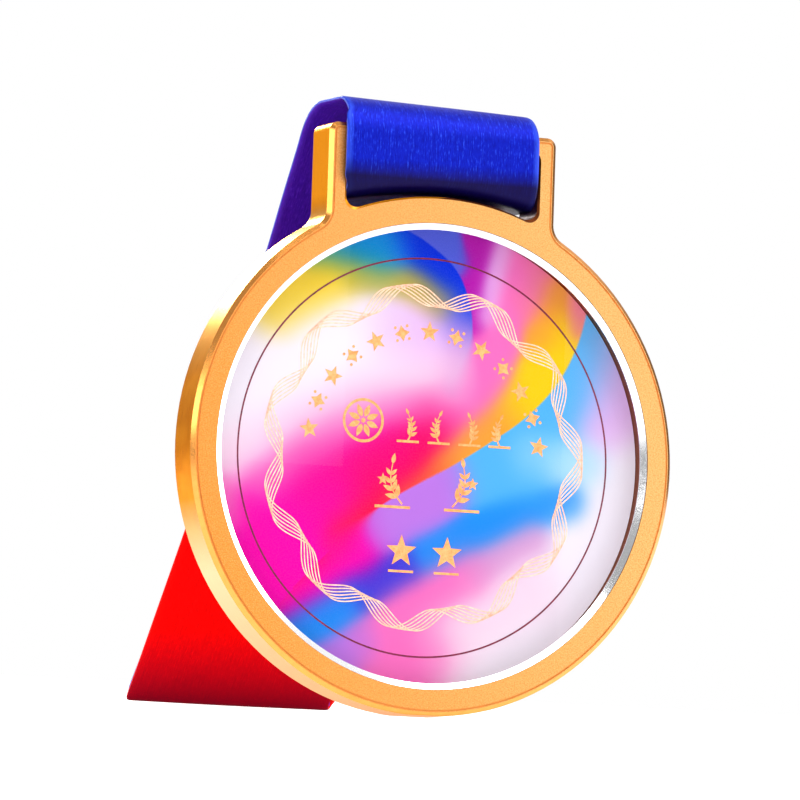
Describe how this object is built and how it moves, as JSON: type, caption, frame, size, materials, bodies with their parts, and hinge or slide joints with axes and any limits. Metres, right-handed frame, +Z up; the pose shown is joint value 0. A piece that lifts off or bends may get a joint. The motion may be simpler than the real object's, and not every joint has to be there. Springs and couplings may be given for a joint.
{
  "type": "sports finisher medal",
  "caption": "Round crystal-insert medal with a slotted ribbon loop, standing on its rim and held up by its folded two-colour neck ribbon.",
  "frame": {"origin": "on the surface the medal stands on, under the middle of the object's width and depth", "axes": "+Z up, +X to the right seen from the front, -Y towards the front of the medal"},
  "size_m": [0.065, 0.07, 0.0766],
  "materials": {
    "gold_cast": "sand-blasted gold plating with polished chamfers, over a zinc-alloy casting",
    "silver_trim": "bright silver trim",
    "crystal": "clear polished crystal",
    "printed_art": "full-colour print behind the crystal, with gold foil line work",
    "adhesive": "white double-sided tape",
    "back_metal": "brushed, gold anodised",
    "ribbon_blue": "woven satin ribbon, royal blue",
    "ribbon_red": "woven satin ribbon, red",
    "ribbon_folded": "folded blue and red satin ribbon",
    "tie_band": "narrow white elastic band",
    "thread": "polyester sewing thread"
  },
  "bodies": {
    "medal": {"medal_frame": "gold_cast", "bezel_ring": "silver_trim", "crystal_disc": "crystal", "artwork_print": "printed_art", "adhesive_disc": "adhesive", "back_plate": "back_metal"},
    "ribbon": {"ribbon_blue": "ribbon_blue", "ribbon_red": "ribbon_red", "ribbon_hank": "ribbon_folded", "hank_tie": "tie_band", "seam_stitches": "thread"}
  },
  "joints": [
    {"name": "ribbon_swing", "type": "hinge", "parent": "medal", "child": "ribbon", "pos_m": [0, -0.02847, 0.07246], "axis": [1, 0, 0], "range_deg": [0, 142]}
  ]
}
